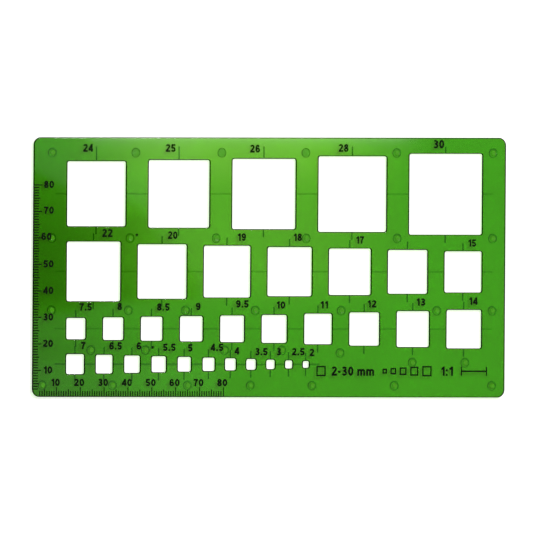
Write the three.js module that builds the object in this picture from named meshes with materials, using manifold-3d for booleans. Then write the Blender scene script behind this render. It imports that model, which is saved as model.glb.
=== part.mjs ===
// Square drawing template: one moulded sheet of transparent green plastic, with square openings in four rows.
// Millimetres. X runs along the long edge, Y up the sheet and Z out of the printed face.
// The origin lies under the middle of the sheet, on the paper that its pips stand on.
import * as THREE from 'three';
import { mergeVertices } from 'three/addons/utils/BufferGeometryUtils.js';
import Module from 'manifold-3d';

// Sheet. Its width follows from the rows that it holds.
const SHEET_LENGTH = 198;
const SHEET_THICKNESS = 1.0;
const SHEET_CORNER_RADIUS = 3;
const EDGE_BREAK = 0.2; // 45 degree chamfer on every rim, outside and in the openings

// Margins, from the sheet's edges to the nearest opening
const LEFT_MARGIN = 14.2;
const RIGHT_MARGIN = 9.9;
const TOP_MARGIN = 6.05;
const BOTTOM_MARGIN = 8.65;

// Openings. Each is its nominal size plus the width that the pen's point takes up.
const PEN_ALLOWANCE = 0.5;
const OPENING_CORNER_RADIUS = 0.7;
const LARGEST_CORNER_SHARE = 0.2; // of an opening's side, which only the smallest openings reach

// Webs between neighbouring openings of the last row. The other rows fill the sheet's length evenly.
const SMALL_ROW_WEB = 4.95;
const TINY_WEB = 4.4; // before each opening under TINY_UNDER
const TINY_UNDER = 4.5;

// Rows from the top down: nominal sizes in order, and the strip between the row's tallest opening and what lies below
const ROWS = [
  { sizes: [24, 25, 26, 28, 30], stripBelow: 2.8 },
  { sizes: [22, 20, 19, 18, 17, 16, 15], stripBelow: 3.1 },
  { sizes: [7.5, 8, 8.5, 9, 9.5, 10, 11, 12, 13, 14], stripBelow: 2.4 },
  { sizes: [7, 6.5, 6, 5.5, 5, 4.5, 4, 3.5, 3, 2.5, 2], stripBelow: BOTTOM_MARGIN, web: SMALL_ROW_WEB },
];

// Centre lines: ribs under the sheet. The line along a row is broad and faint, and the marks across it are crisper.
const ROW_LINE_WIDTH = 0.9;
const ROW_LINE_HEIGHT = 0.06;
const LINE_OVERHANG = 4.8; // past the first and the last opening of a row
const MARK_WIDTH = 0.5;
const MARK_HEIGHT = 0.15;
const MARK_LENGTH = 3.1; // above and below an opening
const TOP_MARK_INSET = 3.4; // the top row's marks all end this far from the sheet's edge

// Pips that hold the underside off wet ink
const PIP_HEIGHT = 0.4;
const PIP_ROOT_RADIUS = 1.8;
const PIP_FLAT_RADIUS = 0.7;
const PIP_LEFT_INSET = 8;
const PIP_RIGHT_INSET = 5.2;
const PIP_CORNER_INSET = 4.4;
const PIP_TOP_INSET = 5.7;
const PIP_BOTTOM_INSET = 4.5;
const PIP_OVER_ROW = 7; // third row's centre to the pips above it
const PIP_OVER_SMALL_ROW = 5.4; // fourth row's centre to the pips above it
const PIP_BESIDE_SMALL_ROW = 0.8; // and to those past its end

// Faceting and solids
const SHEET_CORNER_STEPS = 6;
const OPENING_CORNER_STEPS = 3;
const PIP_SIDES = 12;
const PIP_STEPS = 2;
const ROOT_DEPTH = 0.3; // how far a rib or pip reaches into the sheet that it is moulded with
const CUT_CLEARANCE = 1; // how far an opening's cutter runs past everything that it cuts

const GREEN = 0x4c9b24;

// Heights
const UNDERSIDE = PIP_HEIGHT;
const PRINTED_FACE = UNDERSIDE + SHEET_THICKNESS;

// Layout, from the sheet's lower left corner
const sum = (values) => values.reduce((total, value) => total + value, 0);
const sideOf = (size) => size + PEN_ALLOWANCE;
const sidesOf = (row) => row.sizes.map(sideOf);
const tallestOf = (row) => Math.max(...sidesOf(row));

const SHEET_WIDTH = TOP_MARGIN + sum(ROWS.map((row) => tallestOf(row) + row.stripBelow));

function webBefore(row, index) {
  if (row.web === undefined) {
    const room = SHEET_LENGTH - LEFT_MARGIN - RIGHT_MARGIN - sum(sidesOf(row));
    return room / (row.sizes.length - 1);
  }
  return row.sizes[index] < TINY_UNDER ? TINY_WEB : row.web;
}

// The centre and side of every opening of one row, from left to right
function layOutRow(row, y) {
  let left = LEFT_MARGIN;
  return row.sizes.map((size, index) => {
    const side = sideOf(size);
    if (index > 0) left += webBefore(row, index);
    const opening = { x: left + side / 2, y, side };
    left += side;
    return opening;
  });
}

function layOutRows() {
  let top = SHEET_WIDTH - TOP_MARGIN;
  return ROWS.map((row) => {
    const y = top - tallestOf(row) / 2;
    top -= tallestOf(row) + row.stripBelow;
    return layOutRow(row, y);
  });
}

const rows = layOutRows();

// A place along a row: 2 is the middle of its third opening, and 2.5 the middle of the web after that opening
function placeAlong(row, place) {
  const before = row[Math.floor(place)];
  if (Number.isInteger(place)) return before.x;
  const after = row[Math.ceil(place)];
  return (before.x + before.side / 2 + after.x - after.side / 2) / 2;
}

// The middle of the strip between a row and the next, between their tallest openings
function stripMiddle(row, next) {
  const floor = Math.min(...row.map((opening) => opening.y - opening.side / 2));
  const ceiling = Math.max(...next.map((opening) => opening.y + opening.side / 2));
  return (floor + ceiling) / 2;
}

// Pips stand in bands. Each place is a row, a place along it, a shift from there, and sometimes a lift off the band.
const [topRow, secondRow, thirdRow, smallRow] = rows;
const leftPip = PIP_LEFT_INSET;
const rightPip = SHEET_LENGTH - PIP_RIGHT_INSET;
const PIP_BANDS = [
  {
    y: SHEET_WIDTH - PIP_TOP_INSET,
    edges: [leftPip, rightPip],
    places: [[topRow, 0.5, -0.5], [topRow, 1.5, 0.5], [topRow, 2.5, -0.4], [topRow, 3.5, -0.4]],
  },
  {
    y: stripMiddle(topRow, secondRow),
    edges: [leftPip, rightPip],
    places: [[secondRow, 0.5, 0.5], [topRow, 1.5, -1.7], [topRow, 2.5, 0], [topRow, 3.5, 0]],
  },
  {
    y: thirdRow[0].y + PIP_OVER_ROW,
    edges: [leftPip, rightPip],
    places: [
      [secondRow, 0.5, 0],
      [thirdRow, 3, -2.3],
      [thirdRow, 4.5, 1.1],
      [thirdRow, 6.5, 0.4],
      [thirdRow, 8.5, -0.3],
    ],
  },
  {
    y: smallRow[0].y + PIP_OVER_SMALL_ROW,
    edges: [],
    places: [
      [smallRow, 0.5, 0.5],
      [smallRow, 2.5, 0],
      [smallRow, 6, -2.35],
      [smallRow, 8.5, 0.95],
      [thirdRow, 6.5, 0, -1],
    ],
  },
  {
    y: smallRow[0].y + PIP_BESIDE_SMALL_ROW,
    edges: [],
    places: [[thirdRow, 8, 0], [thirdRow, 9, 0.7]],
  },
  {
    y: PIP_BOTTOM_INSET,
    edges: [PIP_CORNER_INSET, rightPip],
    places: [
      [thirdRow, 1, 0],
      [smallRow, 4, 1.5],
      [smallRow, 7, -0.1],
      [thirdRow, 6, -2.2],
      [topRow, 3.5, -0.8],
    ],
  },
];

const wasm = await Module();
wasm.setup();

// A closed solid from a geometry, whose vertices are merged and whose collapsed triangles are dropped
function solidFrom(geometry) {
  const bare = new THREE.BufferGeometry();
  bare.setAttribute('position', geometry.getAttribute('position'));
  if (geometry.index) bare.setIndex(geometry.index);
  const merged = mergeVertices(bare);
  const corners = merged.index.array;
  const triangles = [];
  for (let i = 0; i < corners.length; i += 3) {
    const [a, b, c] = [corners[i], corners[i + 1], corners[i + 2]];
    if (a !== b && b !== c && c !== a) triangles.push(a, b, c);
  }
  return new wasm.Manifold(
    new wasm.Mesh({
      numProp: 3,
      vertProperties: merged.getAttribute('position').array,
      triVerts: new Uint32Array(triangles),
    }),
  );
}

function geometryFrom(solid) {
  const mesh = solid.getMesh();
  const geometry = new THREE.BufferGeometry();
  geometry.setAttribute('position', new THREE.BufferAttribute(mesh.vertProperties, 3));
  geometry.setIndex(new THREE.BufferAttribute(mesh.triVerts, 1));
  geometry.computeVertexNormals();
  return geometry;
}

// The corners of a rounded rectangle about a centre, anticlockwise
function roundedRectangle(centre, width, height, radius, cornerSteps) {
  const points = [];
  const turns = [[1, 1], [-1, 1], [-1, -1], [1, -1]];
  turns.forEach(([signX, signY], quarter) => {
    const arcX = centre.x + signX * (width / 2 - radius);
    const arcY = centre.y + signY * (height / 2 - radius);
    for (let step = 0; step <= cornerSteps; step++) {
      const angle = (quarter + step / cornerSteps) * (Math.PI / 2);
      points.push([arcX + radius * Math.cos(angle), arcY + radius * Math.sin(angle)]);
    }
  });
  return points;
}

// A solid block whose rounded outline grows or shrinks from level to level. Levels run upward: { z, grow }.
function steppedBlock(centre, width, height, radius, cornerSteps, levels) {
  const positions = [];
  const indices = [];
  for (const { z, grow } of levels) {
    const ring = roundedRectangle(centre, width + 2 * grow, height + 2 * grow, radius + grow, cornerSteps);
    for (const [x, y] of ring) positions.push(x, y, z);
  }
  const around = 4 * (cornerSteps + 1);
  for (let level = 0; level + 1 < levels.length; level++) {
    for (let i = 0; i < around; i++) {
      const here = level * around + i;
      const next = level * around + ((i + 1) % around);
      indices.push(here, next, next + around, here, next + around, here + around);
    }
  }
  const top = (levels.length - 1) * around;
  for (let i = 1; i + 1 < around; i++) {
    indices.push(0, i + 1, i);
    indices.push(top, top + i, top + i + 1);
  }
  const geometry = new THREE.BufferGeometry();
  geometry.setAttribute('position', new THREE.Float32BufferAttribute(positions, 3));
  geometry.setIndex(indices);
  return solidFrom(geometry);
}

function makeSheet() {
  const centre = { x: SHEET_LENGTH / 2, y: SHEET_WIDTH / 2 };
  const levels = [
    { z: UNDERSIDE, grow: -EDGE_BREAK },
    { z: UNDERSIDE + EDGE_BREAK, grow: 0 },
    { z: PRINTED_FACE - EDGE_BREAK, grow: 0 },
    { z: PRINTED_FACE, grow: -EDGE_BREAK },
  ];
  return steppedBlock(centre, SHEET_LENGTH, SHEET_WIDTH, SHEET_CORNER_RADIUS, SHEET_CORNER_STEPS, levels);
}

// What an opening takes away: a square hole that flares at both faces, so that its rims are broken like the sheet's
function makeOpeningCutter(opening) {
  const radius = Math.min(OPENING_CORNER_RADIUS, LARGEST_CORNER_SHARE * opening.side);
  const flare = EDGE_BREAK + MARK_HEIGHT;
  const levels = [
    { z: -CUT_CLEARANCE, grow: flare },
    { z: UNDERSIDE - MARK_HEIGHT, grow: flare },
    { z: UNDERSIDE + EDGE_BREAK, grow: 0 },
    { z: PRINTED_FACE - EDGE_BREAK, grow: 0 },
    { z: PRINTED_FACE + MARK_HEIGHT, grow: flare },
  ];
  return steppedBlock(opening, opening.side, opening.side, radius, OPENING_CORNER_STEPS, levels);
}

// A rib under the sheet, between two corners of its plan
function makeRib(left, bottom, right, top, height) {
  const rib = new THREE.BoxGeometry(right - left, top - bottom, height + ROOT_DEPTH);
  rib.translate((left + right) / 2, (bottom + top) / 2, UNDERSIDE + (ROOT_DEPTH - height) / 2);
  return solidFrom(rib);
}

// One line through a whole row. The openings cut it into the stretches that show.
function makeRowLine(row) {
  const first = row[0];
  const last = row[row.length - 1];
  const left = first.x - first.side / 2 - LINE_OVERHANG;
  const right = last.x + last.side / 2 + LINE_OVERHANG;
  return makeRib(left, first.y - ROW_LINE_WIDTH / 2, right, first.y + ROW_LINE_WIDTH / 2, ROW_LINE_HEIGHT);
}

// One line across an opening, which the opening cuts into a mark above and a mark below
function makeCrossLine(opening, isTopRow) {
  const reach = opening.side / 2 + MARK_LENGTH;
  const top = isTopRow ? SHEET_WIDTH - TOP_MARK_INSET : opening.y + reach;
  return makeRib(opening.x - MARK_WIDTH / 2, opening.y - reach, opening.x + MARK_WIDTH / 2, top, MARK_HEIGHT);
}

// A low dome with a small flat to stand on
function makePip(x, y) {
  const swell = PIP_ROOT_RADIUS - PIP_FLAT_RADIUS;
  const profile = [new THREE.Vector2(0, 0)];
  for (let step = 0; step <= PIP_STEPS; step++) {
    const angle = (step / PIP_STEPS) * (Math.PI / 2);
    const radius = PIP_FLAT_RADIUS + swell * Math.sin(angle);
    profile.push(new THREE.Vector2(radius, PIP_HEIGHT * (1 - Math.cos(angle))));
  }
  profile.push(new THREE.Vector2(PIP_ROOT_RADIUS, PIP_HEIGHT + ROOT_DEPTH));
  profile.push(new THREE.Vector2(0, PIP_HEIGHT + ROOT_DEPTH));
  const pip = new THREE.LatheGeometry(profile, PIP_SIDES);
  pip.rotateX(Math.PI / 2);
  pip.translate(x, y, 0);
  return solidFrom(pip);
}

function makePips() {
  return PIP_BANDS.flatMap(({ y, edges, places }) => {
    const atEdges = edges.map((x) => makePip(x, y));
    const along = places.map(([row, place, shift, lift = 0]) => makePip(placeAlong(row, place) + shift, y + lift));
    return [...atEdges, ...along];
  });
}

function makeTemplate() {
  let body = makeSheet();
  for (const row of rows) {
    body = body.add(makeRowLine(row));
    for (const opening of row) body = body.add(makeCrossLine(opening, row === topRow));
  }
  for (const pip of makePips()) body = body.add(pip);
  for (const opening of rows.flat()) body = body.subtract(makeOpeningCutter(opening));
  return geometryFrom(body);
}

const greenPlastic = new THREE.MeshStandardMaterial({
  name: 'green_plastic',
  color: GREEN,
  roughness: 0.15,
  metalness: 0,
  transparent: true,
  opacity: 0.75,
});

const templateSheet = new THREE.Mesh(makeTemplate(), greenPlastic);
templateSheet.name = 'template_sheet';
templateSheet.position.set(-SHEET_LENGTH / 2, -SHEET_WIDTH / 2, 0);

const template = new THREE.Group();
template.name = 'square_template';
template.add(templateSheet);

export default template;
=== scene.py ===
import math

import bpy
import numpy as np
from mathutils import Matrix, Vector


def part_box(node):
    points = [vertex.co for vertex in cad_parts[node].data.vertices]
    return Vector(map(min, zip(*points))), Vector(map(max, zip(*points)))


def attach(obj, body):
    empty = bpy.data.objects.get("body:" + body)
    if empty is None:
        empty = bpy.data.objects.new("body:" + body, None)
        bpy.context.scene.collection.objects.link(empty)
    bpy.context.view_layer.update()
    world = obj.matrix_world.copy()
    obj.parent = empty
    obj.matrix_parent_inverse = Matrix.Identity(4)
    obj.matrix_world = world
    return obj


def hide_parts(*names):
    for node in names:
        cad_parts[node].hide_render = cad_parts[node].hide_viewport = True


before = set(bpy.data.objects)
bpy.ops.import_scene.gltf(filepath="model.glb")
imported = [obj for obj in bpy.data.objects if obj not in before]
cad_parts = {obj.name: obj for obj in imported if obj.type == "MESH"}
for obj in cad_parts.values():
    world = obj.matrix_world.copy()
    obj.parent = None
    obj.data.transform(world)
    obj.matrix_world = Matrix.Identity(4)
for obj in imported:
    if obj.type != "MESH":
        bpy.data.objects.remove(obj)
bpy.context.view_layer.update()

MM = 0.001
NODE = "template_sheet"
sheet_low, sheet_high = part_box(NODE)
SHEET_LENGTH = (sheet_high.x - sheet_low.x) / MM
SHEET_WIDTH = (sheet_high.y - sheet_low.y) / MM
PRINTED_FACE = sheet_high.z / MM

# The moulding repeats part.mjs, in millimetres from the sheet's lower left corner, with finer curves
UNDERSIDE = 0.4
SHEET_CORNER_RADIUS = 3.0
EDGE_BREAK = 0.35  # a little softer than the solid's
LEFT_MARGIN = 14.2
RIGHT_MARGIN = 9.9
PEN_ALLOWANCE = 0.5
OPENING_CORNER_RADIUS = 0.7
LARGEST_CORNER_SHARE = 0.2
SMALL_ROW_WEB = 4.95
TINY_WEB = 4.4
TINY_UNDER = 4.5
ROWS = [
    (76.7, [24, 25, 26, 28, 30]),
    (47.4, [22, 20, 19, 18, 17, 16, 15]),
    (25.8, [7.5, 8, 8.5, 9, 9.5, 10, 11, 12, 13, 14]),
    (12.4, [7, 6.5, 6, 5.5, 5, 4.5, 4, 3.5, 3, 2.5, 2]),
]
ROW_LINE_WIDTH = 0.9
ROW_LINE_HEIGHTS = (0.06, 0.06, 0.06, 0.09)  # row by row
ROW_LINE_INSET = 0.2  # how much narrower a line's crest is on each side
LINE_OVERHANG = 4.8
MARK_WIDTH = 0.5
MARK_HEIGHT = 0.15
MARK_INSET = 0.06
MARK_LENGTH = 3.1
TOP_MARK_INSET = 3.4
PIP_ROOT_RADIUS = 1.8
PIP_FLAT_RADIUS = 0.7
PIP_LEAN = (-0.12, -0.3)  # from the middle of a pip's root to the middle of its flat
SINK_RADIUS = 0.95  # the shallow dimple that the cooling plastic leaves over a pip, left clear in the material as a painted highlight
SINK_DEPTH = 0.02
SINK_FLAT_SHARE = 0.7  # of its radius
ROOT_DEPTH = 0.3
CUT_CLEARANCE = 1.0

# How finely the moulding's curves are divided
RIM_STEPS = 5
SHEET_CORNER_STEPS = 14
OPENING_CORNER_STEPS = 7
DOME_STEPS = 9
PIP_SIDES = 40
SINK_SIDES = 24
CREASE_ANGLE = 35  # degrees. Faces that meet at more than this keep a crease between them.
LEVEL_NORMAL = 0.99999  # a face whose normal has at least this upright part is level

# Print
INK_GAP = 0.004  # between the printed face and the ink's own underside
INK_THICKNESS = 0.016
TICK_WIDTH = 0.4
TICK_INSET = 0.15  # from the sheet's edge to where a tick starts
SCALE_LAST = 80  # both scales run from 0 to this
FIRST_TICK = 3  # the corner is too round for the ticks before it
LARGE_TYPE = (0.22, 0.64)  # stroke and width of a figure, as shares of its height
SMALL_TYPE = (0.24, 0.70)
LETTER_GAP = 0.13
SMALL_TYPE_TOP = 50.0  # size numerals lower down the sheet than this are set in the small type
SIGN_LINE = 0.55  # line width of the printed signs
SPECKS = [(43.3, 61.2), (50.3, 18.8)]  # stray drops of ink
SPECK_RADIUS = 0.52
SPECK_WOBBLE = 0.18  # of the radius
LEFT_TICK_ENDS = (3.5, 2.65, 2.2)  # from the edge, for tens, fives and the rest
BOTTOM_TICK_ENDS = (3.7, 2.9, 2.3)
SCALE_TYPE_HEIGHT = 2.75
LEFT_NUMERALS = (6.3, 0.2)  # from the left edge, and above their tick
BOTTOM_NUMERALS = (-0.5, 5.5)  # from their tick, and above the bottom edge
STRAY_NUMERALS = {60: (-0.9, 0.4), 70: (0.0, 0.3)}  # on the left scale, set a little out of line

# Camera. The photograph shows one millimetre across as fewer pixels than one upright.
PHOTO_SIDE = 539  # px
PX_ACROSS = 2.385
PX_UPRIGHT = 2.65
PX_LEAN = 0.0181  # to the right, for each millimetre up the sheet
PX_DROP = -0.0032  # upright, for each millimetre along the sheet
SHEET_MIDDLE_PX = (269.5, 267.4)  # from the photograph's upper left corner
CAMERA_DISTANCE = 0.6
CAMERA_CLIP = (0.01, 10)


# Mesh helpers


def bare_object(name, points, faces, material=None):
    """A mesh object at the origin, from points in metres and lists of corners."""
    mesh = bpy.data.meshes.new(name)
    mesh.from_pydata(np.asarray(points, float).tolist(), [], faces)
    mesh.update()
    if material:
        mesh.materials.append(material)
    made = bpy.data.objects.new(name, mesh)
    bpy.context.scene.collection.objects.link(made)
    return made


def new_object(name, points, faces, material=None):
    """A mesh object from points in millimetres off the sheet's lower left corner and lists of corners."""
    corner = (-SHEET_LENGTH / 2, -SHEET_WIDTH / 2, 0)
    return bare_object(name, (np.asarray(points, float) + corner) * MM, faces, material)


def fused(base, parts):
    """The mesh of base after each (part, operation) has been joined to it or cut from it. The parts are
    used up."""
    for part, operation in parts:
        step = base.modifiers.new(part.name, "BOOLEAN")
        step.object = part
        step.operation = operation
        step.solver = "MANIFOLD"
    whole = bpy.data.meshes.new_from_object(base.evaluated_get(bpy.context.evaluated_depsgraph_get()))
    base.modifiers.clear()
    for part, _ in parts:
        bpy.data.objects.remove(part)
    return whole


def stacks(rings, joined=False):
    """Points and faces of many closed solids at once, from rings[solid, level, around] of points,
    anticlockwise seen from the next ring. Neighbouring rings are joined by a band of quads. The first and
    the last are closed by one face each, or where joined is true by a band between them."""
    solids, levels, around, _ = rings.shape
    number = np.arange(solids * levels * around).reshape(solids, levels, around)
    here, above = (number, np.roll(number, -1, 1)) if joined else (number[:, :-1], number[:, 1:])
    bands = np.stack([here, np.roll(here, -1, 2), np.roll(above, -1, 2), above], -1)
    faces = bands.reshape(-1, 4).tolist()
    if not joined:
        faces += number[:, 0, ::-1].tolist() + number[:, -1].tolist()
    return rings.reshape(-1, 3), faces


def bars(plans, levels):
    """Straight bars, many at once. Each plan is (x0, y0, x1, y1), and each level gives z and s, how far
    the rectangle has shrunk there on every side. Its corners are (x1 - s, y0 + s), (x1 - s, y1 - s),
    (x0 + s, y1 - s) and (x0 + s, y0 + s)."""
    plans, levels = np.asarray(plans, float), np.asarray(levels, float)
    inset = levels[:, 1]
    x0, y0 = plans[:, :1] + inset, plans[:, 1:2] + inset
    x1, y1 = plans[:, 2:3] - inset, plans[:, 3:4] - inset
    z = np.broadcast_to(levels[:, 0], x0.shape)
    corners = [np.stack(corner, -1) for corner in ((x1, y0, z), (x1, y1, z), (x0, y1, z), (x0, y0, z))]
    return stacks(np.stack(corners, 2))


def rounded_blocks(centres, sides, radii, levels, corner_steps):
    """Rounded rectangles carried up a profile, many at once. With t round the four quarter turns, a point
    is a + (r + g) (cos t, sin t) at the height z, where a is the centre of the corner's arc, r its
    radius, and each level gives z and g, how far the outline has grown there."""
    centres, sides, radii, levels = (np.asarray(v, float) for v in (centres, sides, radii, levels))
    quarter = np.linspace(0, math.pi / 2, corner_steps + 1)
    turn = quarter[None] + np.arange(4)[:, None] * math.pi / 2
    signs = np.array([[1, 1], [-1, 1], [-1, -1], [1, -1]])
    arcs = centres[:, None] + signs * (sides / 2 - radii[:, None])[:, None]
    reach = radii[:, None] + levels[None, :, 1]
    direction = np.stack([np.cos(turn), np.sin(turn)], -1)
    plan = arcs[:, None, :, None] + reach[:, :, None, None, None] * direction
    height = np.broadcast_to(levels[None, :, 0, None, None, None], plan.shape[:-1] + (1,))
    return stacks(np.concatenate([plan, height], -1).reshape(len(centres), len(levels), -1, 3))


def turned(places, profile, drift, sides):
    """A profile of (radius, z), rising, turned round the upright line through each place. With t round
    the circle and (dx, dy) how far that level drifts from the line, a point is
    (x + dx + r cos t, y + dy + r sin t, z)."""
    places, profile, drift = (np.asarray(v, float) for v in (places, profile, drift))
    turn = np.linspace(0, 2 * math.pi, sides, endpoint=False)
    direction = np.stack([np.cos(turn), np.sin(turn)], -1)
    plan = places[:, None, None] + drift[:, None] + profile[None, :, None, :1] * direction
    height = np.broadcast_to(profile[None, :, None, 1:], plan.shape[:-1] + (1,))
    return stacks(np.concatenate([plan, height], -1))


def rounded_rim(steps):
    """The quarter circle that rounds an upper rim, as levels that rise from the wall to the printed face.
    With t from 0 to a quarter turn, the rim lies r - r sin t under the face and has moved r - r cos t
    away from the wall."""
    turn = np.linspace(0, math.pi / 2, steps + 1)
    return np.stack([PRINTED_FACE - EDGE_BREAK * (1 - np.sin(turn)), EDGE_BREAK * (1 - np.cos(turn))], -1)


# The moulded sheet


def lay_out_rows():
    """The centre and side of every opening, row by row. Rows of large sizes fill the sheet's length."""
    rows = []
    for y, sizes in ROWS:
        wide = np.array(sizes) + PEN_ALLOWANCE
        small = y == ROWS[-1][0]
        room = SHEET_LENGTH - LEFT_MARGIN - RIGHT_MARGIN - wide.sum()
        small_webs = np.where(np.array(sizes) < TINY_UNDER, TINY_WEB, SMALL_ROW_WEB)
        webs = small_webs if small else np.full(len(wide), room / (len(sizes) - 1))
        webs[0] = LEFT_MARGIN
        left = np.cumsum(webs) + np.cumsum(wide) - wide
        rows.append(np.stack([left + wide / 2, np.full(len(wide), y), wide], -1))
    return rows


def lay_out_pips(rows):
    """The middle of every pip. Bands run along the sheet over, between and under the rows. A number added
    to a place is how far the pip lies off the middle of the web or opening that it goes with."""
    top, second, third, small = rows

    def between(row, index):
        return (row[index, 0] + row[index, 2] / 2 + row[index + 1, 0] - row[index + 1, 2] / 2) / 2

    strip = ((top[:, 1] - top[:, 2] / 2).min() + (second[:, 1] + second[:, 2] / 2).max()) / 2
    over_top = SHEET_WIDTH - 5.7
    over_third = third[0, 1] + 7.0
    over_small = small[0, 1] + 5.4
    under_small = 4.5
    left, right = 8.0, SHEET_LENGTH - 5.2
    bands = [
        (over_top, [left, right, between(top, 0) - 0.5, between(top, 1) + 0.5]),
        (over_top, [between(top, 2) - 0.4, between(top, 3) - 0.4]),
        (strip, [left, right, between(second, 0) + 0.5]),
        (strip, [between(top, 1) - 1.7, between(top, 2), between(top, 3)]),
        (over_third, [left, right, between(second, 0), third[3, 0] - 2.3]),
        (over_third, [between(third, 4) + 1.1, between(third, 6) + 0.4, between(third, 8) - 0.3]),
        (over_small, [between(small, 0) + 0.5, between(small, 2)]),
        (over_small, [small[6, 0] - 2.35, between(small, 8) + 0.95]),
        (small[0, 1] + 4.4, [between(third, 6)]),
        (small[0, 1] + 0.8, [third[8, 0], third[9, 0] + 0.7]),
        (under_small, [4.4, right, third[1, 0], small[4, 0] + 1.5]),
        (under_small, [small[7, 0] - 0.1, third[6, 0] - 2.2, between(top, 3) - 0.8]),
    ]
    return np.array([(x, y) for y, along in bands for x in along])


def crease_flat_faces(mesh):
    """Marks the edges between level faces and others as sharp, so that level faces shade as flat."""
    faces, edges = mesh.polygons, mesh.edges
    normals = np.empty(len(faces) * 3)
    faces.foreach_get("normal", normals)
    level = np.abs(normals.reshape(-1, 3)[:, 2]) > LEVEL_NORMAL
    corners = np.empty(len(faces), int)
    faces.foreach_get("loop_total", corners)
    own_edges = np.empty(len(mesh.loops), int)
    mesh.loops.foreach_get("edge_index", own_edges)
    level_faces = np.bincount(own_edges, weights=np.repeat(level, corners), minlength=len(edges))
    sharp = np.empty(len(edges), bool)
    edges.foreach_get("use_edge_sharp", sharp)
    edges.foreach_set("use_edge_sharp", sharp | (level_faces == 1))


def ridge(tall, inset):
    """A rib's levels, for bars. Its flanks run on into the sheet, so no corner lies in the underside."""
    return [(UNDERSIDE - tall, inset), (UNDERSIDE + ROOT_DEPTH, -inset * ROOT_DEPTH / tall)]


def make_sheet(material):
    """The moulding in one closed mesh: a rounded slab with ribs and pips under it, less its openings,
    which cut off the ribs at their rims. Curved rims and pips shade smoothly and flat faces stay flat."""
    rows = lay_out_rows()
    openings = np.concatenate(rows)
    upper_rim = rounded_rim(RIM_STEPS)
    lower_rim = np.array([[UNDERSIDE, EDGE_BREAK], [UNDERSIDE + EDGE_BREAK, 0]])
    rims = np.concatenate([lower_rim, upper_rim])
    centre = [[SHEET_LENGTH / 2, SHEET_WIDTH / 2]]
    outline = [[SHEET_LENGTH, SHEET_WIDTH]]
    slab = rounded_blocks(centre, outline, [SHEET_CORNER_RADIUS], rims * (1, -1), SHEET_CORNER_STEPS)
    sheet = new_object("moulded_sheet", *slab, material)

    x, y, side = openings.T
    below, above = [-CUT_CLEARANCE, EDGE_BREAK], [PRINTED_FACE + CUT_CLEARANCE, EDGE_BREAK]
    cutter_levels = np.concatenate([[below], rims, [above]])
    radii = np.minimum(OPENING_CORNER_RADIUS, LARGEST_CORNER_SHARE * side)
    square = np.stack([side, side], -1)
    blocks = rounded_blocks(openings[:, :2], square, radii, cutter_levels, OPENING_CORNER_STEPS)
    cutters = new_object("cutters", *blocks)

    first, last = np.array([row[0] for row in rows]), np.array([row[-1] for row in rows])
    left = first[:, 0] - first[:, 2] / 2 - LINE_OVERHANG
    right = last[:, 0] + last[:, 2] / 2 + LINE_OVERHANG
    half = ROW_LINE_WIDTH / 2
    row_plans = np.stack([left, first[:, 1] - half, right, first[:, 1] + half], -1)
    row_lines = [
        new_object("row_line", *bars([plan], ridge(tall, ROW_LINE_INSET)))
        for plan, tall in zip(row_plans, ROW_LINE_HEIGHTS)
    ]
    mark_top = np.where(y == ROWS[0][0], SHEET_WIDTH - TOP_MARK_INSET, y + side / 2 + MARK_LENGTH)
    mark_bottom = y - side / 2 - MARK_LENGTH
    half = MARK_WIDTH / 2
    mark_plans = np.stack([x - half, mark_bottom, x + half, mark_top], -1)
    # Marks of neighbouring rows can overlap, so they are joined to the sheet in turn
    second_or_last = (y == ROWS[1][0]) | (y == ROWS[3][0])
    cross_lines = [
        new_object("cross_lines", *bars(mark_plans[chosen], ridge(MARK_HEIGHT, MARK_INSET)))
        for chosen in (second_or_last, ~second_or_last)
    ]

    turn = np.linspace(0, math.pi / 2, DOME_STEPS, endpoint=False)
    swell = PIP_ROOT_RADIUS - PIP_FLAT_RADIUS
    dome = np.stack([PIP_FLAT_RADIUS + swell * np.sin(turn), UNDERSIDE * (1 - np.cos(turn))], -1)
    dome = np.concatenate([dome, [[PIP_ROOT_RADIUS, UNDERSIDE + ROOT_DEPTH]]])
    drift = np.outer(np.clip(1 - dome[:, 1] / UNDERSIDE, 0, 1), PIP_LEAN)
    pips = new_object("pips", *turned(lay_out_pips(rows), dome, drift, PIP_SIDES))
    sink = np.array([
        (SINK_FLAT_SHARE * SINK_RADIUS, PRINTED_FACE - SINK_DEPTH),
        (SINK_RADIUS, PRINTED_FACE),
        (SINK_RADIUS, PRINTED_FACE + CUT_CLEARANCE),
    ])
    sinks = new_object("sinks", *turned(lay_out_pips(rows), sink, np.zeros((len(sink), 2)), SINK_SIDES))

    joined = [(piece, "UNION") for piece in row_lines + cross_lines + [pips]]
    whole = fused(sheet, joined + [(sinks, "DIFFERENCE"), (cutters, "DIFFERENCE")])
    sheet.data = whole
    whole.materials.clear()
    whole.materials.append(material)
    whole.shade_smooth()
    whole.set_sharp_from_angle(angle=math.radians(CREASE_ANGLE))
    crease_flat_faces(whole)
    sheet.modifiers.new("even_triangles", "TRIANGULATE")
    shading = sheet.modifiers.new("flat_faces_stay_flat", "WEIGHTED_NORMAL")
    shading.keep_sharp = True
    shading.weight = 100
    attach(sheet, "root")
    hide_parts(NODE)


# Print


def arc(x, y, across, up, start, end, steps=14):
    """Points on an ellipse: (x + across cos t, y + up sin t), with t from start to end in degrees."""
    t = np.radians(np.linspace(start, end, steps + 1))
    return np.stack([x + across * np.cos(t), y + up * np.sin(t)], -1)


def ring(x, y, across, up):
    """The middle line of a stroke that closes on itself."""
    return arc(x, y, across, up, 0, 360, 24)[:-1], True


def line(*points):
    """The middle line of a stroke through the points given, which may be rows of points too."""
    return np.vstack([np.atleast_2d(p) for p in points]), False


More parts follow.
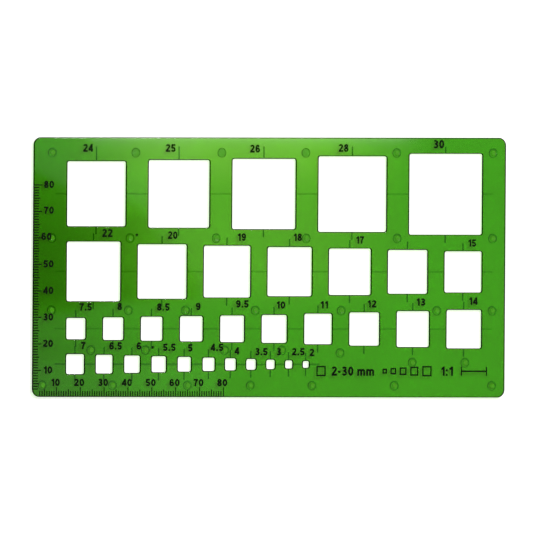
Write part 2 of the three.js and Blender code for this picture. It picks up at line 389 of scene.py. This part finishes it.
def drawn(middle_line, stroke):
    """One stroke as a closed solid from z 0 to 1: a rectangle carried along its middle line. At each
    point its corners lie stroke / 2 to the left and right of the mean direction of the two neighbouring
    stretches."""
    path, closed = middle_line
    ahead = np.roll(path, -1, 0) - path
    if not closed:
        ahead[-1] = ahead[-2] if len(path) > 2 else ahead[0]
    ahead = ahead / np.linalg.norm(ahead, axis=1, keepdims=True)
    behind = np.roll(ahead, 1, 0)
    if not closed:
        behind[0] = ahead[0]
    along = ahead + behind
    along = along / np.linalg.norm(along, axis=1, keepdims=True)
    aside = np.stack([-along[:, 1], along[:, 0]], -1) * stroke / 2
    left, right = path + aside, path - aside
    floor, top = np.zeros((len(path), 1)), np.ones((len(path), 1))
    corners = [np.hstack(pair) for pair in ((left, top), (right, top), (right, floor), (left, floor))]
    return stacks(np.stack(corners, 1)[None], joined=closed)


def lay_out_figures(stroke, wide):
    """Every character's strokes as middle lines, on a type height of 1, and the character's width."""
    half = stroke / 2
    middle = wide / 2
    reach = middle - half
    high = 1 - half
    bowl = 0.32  # height of the middle of a lower bowl
    six = [ring(middle, bowl, reach, bowl - half),
           line((half, bowl), arc(middle, 0.5, reach, 0.5 - half, 180, 35))]
    dot = line((0, half), (stroke, half))
    upper_dot = line((0, 0.6), (stroke, 0.6))
    arch = np.vstack([arc(half + 0.18, 0.5, 0.18, 0.13, 180, 0), [[half + 0.36, 0]]])
    one = [line((0.4, 0), (0.4, 1)), line((0.1, 0.74), (0.27, 0.79), (0.38, 0.92))]
    two = [line(arc(middle, 0.72, reach, 0.28 - half, 165, -30), (middle, 0.37),
                (0.3 * wide, 0.24), (half, half)),
           line((0.02, half), (wide, half))]
    three = [line(arc(middle, 0.735, reach - 0.02, 0.265 - half, 155, -90)),
             line((0.33 * wide, 0.53), (middle, 0.53)),
             line(arc(middle, 0.29, reach, 0.29 - half, 90, -155))]
    four = [line((0.72 * wide, 0), (0.72 * wide, 1)),
            line((0, 0.28), (wide, 0.28)),
            line((0.69 * wide, 0.93), (0.13 * wide, 0.3))]
    five = [line((0.1 * wide, high), (wide - 0.04, high)),
            line((0.25 * wide, high), (0.2 * wide, 0.46)),
            line(arc(middle - 0.01, bowl, reach, bowl - half, 135, -160))]
    seven = [line((0.02, high), (wide, high)),
             line((0.83 * wide, high), (0.6 * wide, 0.62), (0.45 * wide, 0.32), (0.39 * wide, 0))]
    eight = [ring(middle, 0.735, reach - 0.03, 0.265 - half),
             ring(middle, 0.285, reach, 0.285 - half)]
    return {
        "0": ([ring(middle, 0.5, reach, 0.5 - half)], wide),
        "1": (one, 0.4 + half),
        "2": (two, wide),
        "3": (three, wide),
        "4": (four, wide),
        "5": (five, wide),
        "6": (six, wide),
        "7": (seven, wide),
        "8": (eight, wide),
        "9": ([((wide, 1) - path, closed) for path, closed in six], wide),
        ".": ([dot], stroke),
        ":": ([dot, upper_dot], stroke),
        "-": ([line((0, 0.42), (0.32, 0.42))], 0.32),
        "m": ([line((half, 0), (half, 0.72)), line(arch), line(arch + (0.36, 0))], stroke + 0.72),
        " ": ([], 0.2),
    }


def cast_figures(stroke, wide):
    """Points, faces and width of every character as one closed solid, its strokes joined."""
    figures = {}
    for character, (middle_lines, width) in lay_out_figures(stroke, wide).items():
        if not middle_lines:
            figures[character] = (np.zeros((0, 3)), [], width)
            continue
        solids = [bare_object("stroke", *drawn(middle_line, stroke)) for middle_line in middle_lines]
        mesh = fused(solids[0], [(solid, "UNION") for solid in solids[1:]])
        points = np.empty(len(mesh.vertices) * 3)
        mesh.vertices.foreach_get("co", points)
        figures[character] = (points.reshape(-1, 3), [list(p.vertices) for p in mesh.polygons], width)
        bpy.data.objects.remove(solids[0])
        bpy.data.meshes.remove(mesh)
    return figures


def ink_piece(name, points, faces, material):
    """One piece of print, which lies on the sheet."""
    made = new_object(name, points, faces, material)
    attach(made, "root")


def print_texts(name, texts, figures, material):
    """One piece from many printed texts. Each is (text, x, y, height): where its middle lies from the
    sheet's lower left corner and how tall its characters are, in millimetres. Each character is set
    LETTER_GAP after the one before, and the solids are laid on the printed face as a film of ink."""
    points, faces = [], []
    start = 0
    for text, x, y, height in texts:
        widths = np.array([figures[character][2] for character in text])
        lefts = np.cumsum(widths + LETTER_GAP) - widths - LETTER_GAP
        lefts = lefts - (lefts[-1] + widths[-1]) / 2
        for character, left in zip(text, lefts):
            outline, own_faces, _ = figures[character]
            place = np.array([x + left * height, y - height / 2, PRINTED_FACE + INK_GAP])
            points.append(outline * (height, height, INK_THICKNESS) + place)
            faces += [[start + i for i in face] for face in own_faces]
            start += len(outline)
    ink_piece(name, np.concatenate(points), faces, material)


def print_bars(name, plans, material):
    """One piece from printed bars, each (x0, y0, x1, y1) in mm from the sheet's lower left corner."""
    bottom = PRINTED_FACE + INK_GAP
    ink_piece(name, *bars(plans, [(bottom, 0), (bottom + INK_THICKNESS, 0)]), material)


def tick_ends(places, ends):
    """How far from the edge each tick of a scale ends: ends gives it for tens, fives and the rest."""
    tens, fives, rest = ends
    return np.where(places % 10 == 0, tens, np.where(places % 5 == 0, fives, rest))


def print_specks(name, places, material):
    """Stray drops of ink: low solids of an uneven outline. At the angle t its radius is
    r (1 + w sin 3t), where w is the wobble."""
    turn = np.linspace(0, 2 * math.pi, 18, endpoint=False)
    radius = SPECK_RADIUS * (1 + SPECK_WOBBLE * np.sin(3 * turn))
    outline = np.stack([radius * np.cos(turn), radius * np.sin(turn)], -1)
    bottom = PRINTED_FACE + INK_GAP
    levels = np.array([(bottom, 1.0), (bottom + INK_THICKNESS / 2, 0.9), (bottom + INK_THICKNESS, 0.6)])
    plan = np.array(places)[:, None, None] + levels[None, :, None, 1:] * outline
    height = np.broadcast_to(levels[None, :, None, :1], plan.shape[:-1] + (1,))
    ink_piece(name, *stacks(np.concatenate([plan, height], -1)), material)


def hollow_square(x, y, side):
    """Four bars round a square hole."""
    out = side / 2
    hole = out - SIGN_LINE
    return [
        (x - out, y + hole, x + out, y + out),
        (x - out, y - out, x + out, y - hole),
        (x - out, y - hole, x - hole, y + hole),
        (x + hole, y - hole, x + out, y + hole),
    ]


# Materials

CLEAR = (1.0, 1.0, 1.0, 1)
DEEP_DYE = (0.38, 0.70, 0.21, 1)  # where the tint is strongest; the pale patch of painted light fades it towards clear
RIB_PAINTED_SHADE = (0.07, 0.27, 0.02, 1)  # painted shade, on whatever stands proud of the underside
PIP_PAINTED_SHADE = (0.82, 0.9, 0.75, 1)  # painted shade, further down a pip's flank
# painted shade: walls and broken rims come out almost black
WALL_PAINTED_SHADE = (0.0004, 0.004, 0.0003, 1)
PLASTIC_ROUGHNESS = 0.04
PLASTIC_IOR = 1.49
WALL_IOR = 1.02  # the dull walls mirror almost nothing
ABSORPTION = (0.516, 0.772, 0.0437, 1)
ABSORPTION_DENSITY = 3200.0
STREAK_SCALE = 22.0
FULL_INK = (0.002, 0.003, 0.002, 1)
THIN_INK = (0.004, 0.009, 0.003, 1)
INK_SHEEN = 0.05
MOTTLE_SCALE = 2500.0

# Heights over the paper in metres, each from where a change starts to where it ends
PIP_TIP = (0.00005, 0.00011)
PIP_FLANK = (0.00014, 0.00022)
RIB_FLANK = (0.000265, 0.0004)
WALL_FOOT = (0.0004, 0.00044)
DIMPLE_FLOOR = (0.00137, 0.001378)
DIMPLE_SLOPE = (0.00139, 0.0013985)
WALL_TOP = (0.0013985, 0.0013997)


def node(tree, kind, settings=None, **values):
    """A new node. settings are its properties, and values its sockets by name, with _ for a space."""
    made = tree.nodes.new(kind)
    for key, value in (settings or {}).items():
        setattr(made, key, value)
    for key, value in values.items():
        made.inputs[key.replace("_", " ")].default_value = value
    return made


def link(tree, source, target):
    tree.links.new(source, target)


def fade(tree, value, start, end, low, high):
    """A smooth step of a value: low at start and before, high at end and beyond."""
    made = node(tree, "ShaderNodeMapRange", {"interpolation_type": "SMOOTHSTEP"})
    for name, number in (("From Min", start), ("From Max", end), ("To Min", low), ("To Max", high)):
        made.inputs[name].default_value = number
    link(tree, value, made.inputs["Value"])
    return made.outputs["Result"]


def mixed(tree, factor, a, b):
    """The colour a where the factor is 0 and b where it is 1. Each is a socket or a constant."""
    made = node(tree, "ShaderNodeMix", {"data_type": "RGBA"})
    link(tree, factor, made.inputs["Factor"])
    for name, value in (("A", a), ("B", b)):
        socket = next(s for s in made.inputs if s.name == name and s.type == "RGBA")
        if isinstance(value, tuple):
            socket.default_value = value
        else:
            link(tree, value, socket)
    return next(s for s in made.outputs if s.type == "RGBA")


def calculate(tree, operation, a, b):
    """One sum of two numbers, each a socket or a constant."""
    made = node(tree, "ShaderNodeMath", {"operation": operation})
    for socket, value in zip(made.inputs, (a, b)):
        if isinstance(value, (int, float)):
            socket.default_value = value
        else:
            link(tree, value, socket)
    return made.outputs[0]


def wall_mask(tree, height, flatness):
    """1 on the moulded walls and their broken rims, and 0 on the flat faces and all under the sheet."""
    between = calculate(tree, "MULTIPLY", fade(tree, height, *WALL_FOOT, 0.0, 1.0),
                        fade(tree, height, *WALL_TOP, 1.0, 0.0))
    return calculate(tree, "MULTIPLY", fade(tree, flatness, 0.95, 0.998, 1.0, 0.0), between)


def dye_pattern(tree, along, up, height, place, walls):
    """The plastic's tint over the sheet, in metres of its own frame, with painted light and shade in it.
    A pale patch of painted light lies in the upper middle, painted shade darkens the left end, and
    the tint is a little streaked. The further the underside stands proud, at the centre lines and the
    pips' flanks, the darker its painted shade, and the pips' flat tips are left clear as a painted
    highlight. Walls and broken rims are painted dark as shade."""
    # Painted light: a pale patch in the upper middle, where the sheet shows brighter
    aside = calculate(tree, "ABSOLUTE", calculate(tree, "ADD", along, 0.012), 0.0)
    lower_step = fade(tree, up, -0.022, 0.004, 0.0, 0.45)
    upper_step = fade(tree, up, 0.024, 0.046, 0.0, 0.55)
    upward = calculate(tree, "ADD", lower_step, upper_step)
    painted_light_patch = calculate(tree, "MULTIPLY", fade(tree, aside, 0.018, 0.088, 1.0, 0.0), upward)
    dye_and_painted_lighting = mixed(tree, painted_light_patch, DEEP_DYE, CLEAR)

    # Painted shade darkens the left end; it reaches less far along the sheet under the second row
    shift = calculate(tree, "MULTIPLY", fade(tree, up, -0.031, -0.022, 0.019, 0.028),
                      fade(tree, up, -0.018, -0.008, 1.0, 0.0))
    # how far the left end's painted shade has given way, from 0 to 1
    clear = fade(tree, calculate(tree, "ADD", along, shift), -0.1, -0.012, 0.0, 1.0)
    left_painted_shade_above = fade(tree, up, 0.005, 0.06, 0.50, 0.93)
    left_painted_shade_below = fade(tree, up, -0.036, -0.02, 0.06, 0.0)
    left_painted_shade = calculate(tree, "ADD", left_painted_shade_above, left_painted_shade_below)
    rest = calculate(tree, "SUBTRACT", 0.98, left_painted_shade)
    shade = calculate(tree, "ADD", left_painted_shade, calculate(tree, "MULTIPLY", clear, rest))

    # Painted light: a lighter spot in the painted shade, between the first two openings of the top row
    painted_light_spot = calculate(tree, "MULTIPLY", fade(tree, along, -0.078, -0.064, 0.0, 1.0),
                     fade(tree, along, -0.045, -0.03, 0.13, 0.0))
    painted_light_spot = calculate(tree, "MULTIPLY", painted_light_spot, fade(tree, up, 0.017, 0.024, 0.0, 1.0))
    painted_light_spot = calculate(tree, "MULTIPLY", painted_light_spot, fade(tree, up, 0.033, 0.043, 1.0, 0.0))
    shade = calculate(tree, "ADD", shade, painted_light_spot)

    # Streaks from the flow of the plastic
    flow = node(tree, "ShaderNodeTexNoise", Scale=STREAK_SCALE, Detail=2.0)
    link(tree, place, flow.inputs["Vector"])
    shade = calculate(tree, "MULTIPLY", shade, fade(tree, flow.outputs["Fac"], 0.3, 0.7, 0.96, 1.03))
    tint_and_painted_lighting = node(tree, "ShaderNodeVectorMath", {"operation": "SCALE"})
    link(tree, dye_and_painted_lighting, tint_and_painted_lighting.inputs[0])
    link(tree, shade, tint_and_painted_lighting.inputs["Scale"])

    # Painted shade on ribs and pips, by how far down they reach
    rib_painted_shade = mixed(tree, fade(tree, height, *RIB_FLANK, 1.0, 0.0), CLEAR, RIB_PAINTED_SHADE)
    underside_painted_shade = mixed(tree, fade(tree, height, *PIP_FLANK, 1.0, 0.0), rib_painted_shade, PIP_PAINTED_SHADE)
    darker = node(tree, "ShaderNodeVectorMath", {"operation": "MULTIPLY"})
    link(tree, tint_and_painted_lighting.outputs[0], darker.inputs[0])
    link(tree, underside_painted_shade, darker.inputs[1])

    # Painted highlight: a pip's flat tip and the dimple over it are left clear, so the pip's middle shows
    # brighter
    tip = fade(tree, height, *PIP_TIP, 1.0, 0.0)
    sunk = calculate(tree, "MULTIPLY", fade(tree, height, *DIMPLE_FLOOR, 0.0, 1.0),
                     fade(tree, height, *DIMPLE_SLOPE, 1.0, 0.0))
    painted_highlight = calculate(tree, "MAXIMUM", tip, sunk)
    flat = mixed(tree, painted_highlight, darker.outputs[0], CLEAR)
    # Painted shade: walls and broken rims are coloured almost black
    return mixed(tree, walls, flat, WALL_PAINTED_SHADE)


def green_plastic():
    """Transparent green styrene. Its colour deepens with the way through it, and over it lies a pattern of
    painted light and shade with faint streaks. The polished faces mirror the studio, and the moulded walls
    are duller and painted dark as shade. Lamps shine through it."""
    made = bpy.data.materials.new("green_plastic")
    made.use_nodes = True
    tree = made.node_tree
    tree.nodes.clear()
    out = node(tree, "ShaderNodeOutputMaterial")
    place = node(tree, "ShaderNodeTexCoord")
    glass = node(tree, "ShaderNodeBsdfPrincipled", Transmission_Weight=1.0, IOR=PLASTIC_IOR,
                 Roughness=PLASTIC_ROUGHNESS)
    facing = node(tree, "ShaderNodeSeparateXYZ")
    link(tree, place.outputs["Normal"], facing.inputs[0])
    flatness = calculate(tree, "ABSOLUTE", facing.outputs["Z"], 0.0)
    parts = node(tree, "ShaderNodeSeparateXYZ")
    link(tree, place.outputs["Object"], parts.inputs[0])
    walls = wall_mask(tree, parts.outputs["Z"], flatness)
    dye_and_painted_lighting = dye_pattern(tree, *parts.outputs, place.outputs["Object"], walls)
    link(tree, dye_and_painted_lighting, glass.inputs["Base Color"])
    link(tree, fade(tree, walls, 0.0, 1.0, PLASTIC_IOR, WALL_IOR), glass.inputs["IOR"])
    let_through = node(tree, "ShaderNodeBsdfTransparent", Color=CLEAR)
    path = node(tree, "ShaderNodeLightPath")
    mix = node(tree, "ShaderNodeMixShader")
    link(tree, path.outputs["Is Shadow Ray"], mix.inputs[0])
    link(tree, glass.outputs[0], mix.inputs[1])
    link(tree, let_through.outputs[0], mix.inputs[2])
    link(tree, mix.outputs[0], out.inputs["Surface"])
    absorb = node(tree, "ShaderNodeVolumeAbsorption", Color=ABSORPTION, Density=ABSORPTION_DENSITY)
    link(tree, absorb.outputs[0], out.inputs["Volume"])
    return made


def black_ink():
    """Screen printing ink: almost black, dull, with a fine mottle in its roughness and its cover."""
    made = bpy.data.materials.new("black_ink")
    made.use_nodes = True
    tree = made.node_tree
    shader = tree.nodes["Principled BSDF"]
    shader.inputs["Specular IOR Level"].default_value = INK_SHEEN
    place = node(tree, "ShaderNodeTexCoord")
    noise = node(tree, "ShaderNodeTexNoise", Scale=MOTTLE_SCALE)
    link(tree, place.outputs["Object"], noise.inputs["Vector"])
    cover = mixed(tree, fade(tree, noise.outputs["Fac"], 0.35, 0.7, 0.0, 1.0), FULL_INK, THIN_INK)
    link(tree, cover, shader.inputs["Base Color"])
    link(tree, fade(tree, noise.outputs["Fac"], 0.3, 0.7, 0.5, 0.7), shader.inputs["Roughness"])
    return made


def studio_white(name, albedo, lift):
    """A pale matt floor. Seen by the camera, in a reflection or through glass it gets enough light of its
    own to come out white, and it still keeps the shadow of what lies on it."""
    made = bpy.data.materials.new(name)
    made.use_nodes = True
    tree = made.node_tree
    tree.nodes.clear()
    out = node(tree, "ShaderNodeOutputMaterial")
    matt = node(tree, "ShaderNodeBsdfDiffuse", Color=(albedo, albedo, albedo, 1))
    glow = node(tree, "ShaderNodeEmission")
    path = node(tree, "ShaderNodeLightPath")
    direct = calculate(tree, "MAXIMUM", path.outputs["Is Camera Ray"], path.outputs["Is Glossy Ray"])
    seen = calculate(tree, "MAXIMUM", direct, path.outputs["Is Transmission Ray"])
    link(tree, calculate(tree, "MULTIPLY", seen, lift), glow.inputs["Strength"])
    both = node(tree, "ShaderNodeAddShader")
    link(tree, matt.outputs[0], both.inputs[0])
    link(tree, glow.outputs[0], both.inputs[1])
    link(tree, both.outputs[0], out.inputs["Surface"])
    return made


# The pieces

plastic = green_plastic()
ink = black_ink()
make_sheet(plastic)

# Each size numeral, its middle from the sheet's lower left corner, and its height
SIZE_NUMERALS = [
    ("24", 22.6, 94.0, 2.95), ("25", 57.2, 94.0, 2.95), ("26", 92.6, 93.8, 2.95), ("28", 129.7, 94.1, 2.95),
    ("30", 169.6, 95.6, 3.2),
    ("22", 30.9, 61.9, 3.1), ("20", 58.3, 61.1, 2.85), ("19", 87.2, 60.4, 2.85), ("18", 110.7, 60.4, 2.85),
    ("17", 136.8, 59.4, 2.75), ("15", 183.8, 58.3, 2.75),
    ("7.5", 22.0, 34.0, 2.8), ("8", 36.3, 34.2, 2.8), ("8.5", 54.6, 34.0, 2.8), ("9", 69.2, 34.2, 2.8),
    ("9.5", 87.7, 35.2, 2.8), ("10", 103.8, 34.8, 2.8), ("11", 122.0, 34.9, 2.8), ("12", 142.0, 35.3, 2.8),
    ("13", 162.5, 36.0, 2.8), ("14", 184.5, 36.4, 2.8),
    ("7", 21.1, 19.4, 2.8), ("6.5", 34.7, 19.3, 2.8), ("6", 44.5, 19.3, 2.8), ("5.5", 57.2, 18.8, 2.8),
    ("5", 66.0, 18.6, 2.8), ("4.5", 77.2, 18.8, 2.8), ("4", 85.6, 17.5, 2.8), ("3.5", 95.8, 17.2, 2.8),
    ("3", 103.1, 17.2, 2.8), ("2.5", 111.3, 17.2, 2.8), ("2", 117.0, 16.9, 2.8),
]
large_figures = cast_figures(*LARGE_TYPE)
small_figures = cast_figures(*SMALL_TYPE)
large_texts = [t for t in SIZE_NUMERALS if t[2] > SMALL_TYPE_TOP]
small_texts = [t for t in SIZE_NUMERALS if t[2] <= SMALL_TYPE_TOP]
print_texts("size_numerals", large_texts, large_figures, ink)
print_texts("small_size_numerals", small_texts, small_figures, ink)

tens = range(10, SCALE_LAST + 1, 10)
left_x, left_rise = LEFT_NUMERALS
left_shifts = [STRAY_NUMERALS.get(t, (0.0, 0.0)) for t in tens]
left_texts = [
    (str(t), left_x + aside, t + left_rise + higher, SCALE_TYPE_HEIGHT)
    for t, (aside, higher) in zip(tens, left_shifts)
]
print_texts("left_scale_numerals", left_texts, small_figures, ink)
bottom_shift, bottom_y = BOTTOM_NUMERALS
bottom_texts = [(str(t), t + bottom_shift, bottom_y, SCALE_TYPE_HEIGHT) for t in tens]
print_texts("bottom_scale_numerals", bottom_texts, small_figures, ink)

places = np.arange(FIRST_TICK, SCALE_LAST + 1, dtype=float)
low_sides, high_sides = places - TICK_WIDTH / 2, places + TICK_WIDTH / 2
inset = np.full(len(places), TICK_INSET)
left_ticks = np.stack([inset, low_sides, tick_ends(places, LEFT_TICK_ENDS), high_sides], 1)
bottom_ticks = np.stack([low_sides, inset, high_sides, tick_ends(places, BOTTOM_TICK_ENDS)], 1)
print_bars("left_scale_ticks", left_ticks, ink)
print_bars("bottom_scale_ticks", bottom_ticks, ink)

# A plain legend: the range of sizes, squares that grow, full scale, and a 10 mm length to check a copy by
LEGEND_Y = 9.9
LEGEND_HEIGHT = 3.5
# The squares' middles, from the sheet's left edge, and their sides
LEGEND_SQUARES = ((120.9, 3.9), (147.6, 1.9), (151.2, 2.4), (155.3, 2.9), (160.0, 3.4), (165.3, 3.9))
GAUGE_START = 180.0
GAUGE_LENGTH = 10.0
GAUGE_LINE = 0.3  # half the width of its middle line
GAUGE_END = (0.5, 1.8)  # width and half the height of the bar at each end
legend = [("2-30 mm", 134.2, LEGEND_Y, LEGEND_HEIGHT), ("1:1", 173.6, LEGEND_Y, LEGEND_HEIGHT)]
print_texts("legend_texts", legend, large_figures, ink)
signs = [bar for x, side in LEGEND_SQUARES for bar in hollow_square(x, LEGEND_Y, side)]
gauge_stop = GAUGE_START + GAUGE_LENGTH
end_width, end_half = GAUGE_END
signs += [
    (GAUGE_START, LEGEND_Y - GAUGE_LINE, gauge_stop, LEGEND_Y + GAUGE_LINE),
    (GAUGE_START - end_width, LEGEND_Y - end_half, GAUGE_START, LEGEND_Y + end_half),
    (gauge_stop, LEGEND_Y - end_half, gauge_stop + end_width, LEGEND_Y + end_half),
]
print_bars("legend_signs", signs, ink)
print_specks("ink_specks", SPECKS, ink)

# Studio, in metres

FLOOR_HALF = 1.6
FLOOR_HEIGHT = -0.00003  # a hair under the pips
FLOOR_ALBEDO = 0.8
FLOOR_LIFT = 0.5  # its light of its own
WORLD_LIGHT = 0.06


def studio_plane(name, centre, right, up, material):
    """A flat stage rectangle about a centre, spanned by two half sides, in metres."""
    centre, right, up = (np.array(v, float) for v in (centre, right, up))
    corners = np.array([
        centre - right - up, centre + right - up, centre + right + up, centre - right + up,
    ])
    middle = (SHEET_LENGTH / 2, SHEET_WIDTH / 2, 0)
    made = new_object(name, corners / MM + middle, [[0, 1, 2, 3]], material)


floor_white = studio_white("floor_white", FLOOR_ALBEDO, FLOOR_LIFT)
studio_plane("floor", (0, 0, FLOOR_HEIGHT), (FLOOR_HALF, 0, 0), (0, FLOOR_HALF, 0), floor_white)


def softbox(name, place, aim, width, height, radiance):
    """A rectangular lamp at a place, facing its aim. Its power is radiance times pi times its area."""
    data = bpy.data.lights.new(name, "AREA")
    data.shape = "RECTANGLE"
    data.size, data.size_y = width, height
    data.energy = radiance * math.pi * width * height
    made = bpy.data.objects.new(name, data)
    made.location = place
    made.rotation_euler = (Vector(aim) - Vector(place)).to_track_quat("-Z", "Y").to_euler()
    bpy.context.scene.collection.objects.link(made)


softbox("key_softbox", (0.25, 0.42, 0.65), (0, 0, 0), 0.25, 0.25, 26.0)
softbox("fill_softbox", (-0.45, -0.15, 0.7), (0, 0, 0), 0.5, 0.5, 3.0)

# Dim panels overhead, where the flat face mirrors them to the camera
PANEL_HEIGHT = 0.5
PANEL_STEP = 0.006  # between panels, because two lamps in one plane don't add up in the mirror image
CARD_GAP = 0.01  # from the lowest panel down to the card
SQUEEZE = 0.9  # how wide the camera shows the sheet, as a share of its true length
MIRROR_LEAN = math.tan(math.acos(SQUEEZE))  # how far right a mirrored ray runs for each metre of rise
MIRROR_DROP = 0.0126  # and how far down the sheet

# Name, stretch of the sheet that it shows in (low x, low y, high x, high y) and radiance of each panel
PANELS = [
    ("overhead_panel", (-0.15, -0.09, 0.15, 0.09), 0.2),
    ("top_left_panel", (-0.15, 0.024, -0.03, 0.09), 0.2),
    ("top_middle_panel", (-0.05, 0.034, 0.015, 0.09), 0.15),
    ("bottom_left_panel", (-0.15, -0.09, -0.02, -0.036), 0.15),
    ("sheen_panel", (-0.075, 0.0435, 0.055, 0.09), 0.08),
    ("edge_sheen_panel", (-0.075, 0.047, 0.055, 0.09), 0.5),
    ("rim_sheen_panel", (-0.075, 0.0479, 0.06, 0.09), 1.8),
]


def hang_panel(name, stretch, radiance, height):
    """A level lamp that shines down and shows in the mirror image of the stretch given."""
    low_x, low_y, high_x, high_y = stretch
    middle = ((low_x + high_x) / 2 + height * MIRROR_LEAN, (low_y + high_y) / 2 - height * MIRROR_DROP)
    softbox(name, (*middle, height), (*middle, 0), high_x - low_x, high_y - low_y, radiance)


for level, (name, stretch, radiance) in enumerate(PANELS):
    hang_panel(name, stretch, radiance, PANEL_HEIGHT + level * PANEL_STEP)


def black_card(name, outline, height):
    """A flat dull black card with the outline given, hung level. Its corners are the places on the sheet,
    in metres, where its mirror image shows."""
    made = bpy.data.materials.new(name)
    made.use_nodes = True
    shader = made.node_tree.nodes["Principled BSDF"]
    shader.inputs["Base Color"].default_value = (0.0, 0.0, 0.0, 1)
    shader.inputs["Specular IOR Level"].default_value = 0.0
    points = [(x + height * MIRROR_LEAN, y - height * MIRROR_DROP, height) for x, y in outline]
    card = bare_object(name, points, [list(range(len(points)))], made)


# The card keeps the panels out of the mirror image at the left end, which looks darker and deeper
DARK_END = [
    (-0.12, -0.0195), (-0.084, -0.0175), (-0.07, -0.0135), (-0.0295, -0.0123), (-0.0312, -0.0029),
    (-0.0467, 0.0103), (-0.0514, 0.018), (-0.0564, 0.0243), (-0.085, 0.03), (-0.12, 0.046),
]
black_card("black_card", DARK_END, PANEL_HEIGHT - CARD_GAP)

world = bpy.data.worlds.new("studio")
world.use_nodes = True
background = world.node_tree.nodes["Background"]
background.inputs["Color"].default_value = (1, 1, 1, 1)
background.inputs["Strength"].default_value = WORLD_LIGHT
bpy.context.scene.world = world


def photo_camera():
    """An orthographic camera whose axes give the photograph's pixels for each millimetre of the sheet.

    With the camera's right and up axes as unit vectors times s px per mm, their parts along the sheet's
    two edges are the four measured numbers. Their parts along Z follow: each vector is s long, and the
    two are square to each other.
    """
    # (s^2 - along^2) of each vector is its upright part squared, and those two parts multiply to cross.
    cross = -(PX_ACROSS * PX_DROP + PX_LEAN * PX_UPRIGHT)
    across = PX_ACROSS**2 + PX_LEAN**2
    upright = PX_UPRIGHT**2 + PX_DROP**2
    wider = upright - across
    small = (-wider + math.sqrt(wider**2 + 4 * cross**2)) / 2
    scale = math.sqrt(upright + small)
    right_z = math.sqrt(wider + small)
    right = Vector((PX_ACROSS, PX_LEAN, right_z)) / scale
    up = Vector((PX_DROP, PX_UPRIGHT, cross / right_z)) / scale
    back = right.cross(up)
    data = bpy.data.cameras.new("photo_camera")
    data.type = "ORTHO"
    data.ortho_scale = PHOTO_SIDE / scale * MM
    data.clip_start, data.clip_end = CAMERA_CLIP
    made = bpy.data.objects.new("photo_camera", data)
    px = PHOTO_SIDE / 2
    aside = (px - SHEET_MIDDLE_PX[0]) / scale * MM
    above = (SHEET_MIDDLE_PX[1] - px) / scale * MM
    place = Vector((0, 0, PRINTED_FACE * MM)) + right * aside + up * above + back * CAMERA_DISTANCE
    made.matrix_world = Matrix.Translation(place) @ Matrix((right, up, back)).transposed().to_4x4()
    bpy.context.scene.collection.objects.link(made)
    bpy.context.scene.camera = made


photo_camera()
bpy.context.scene.view_settings.view_transform = "Standard"
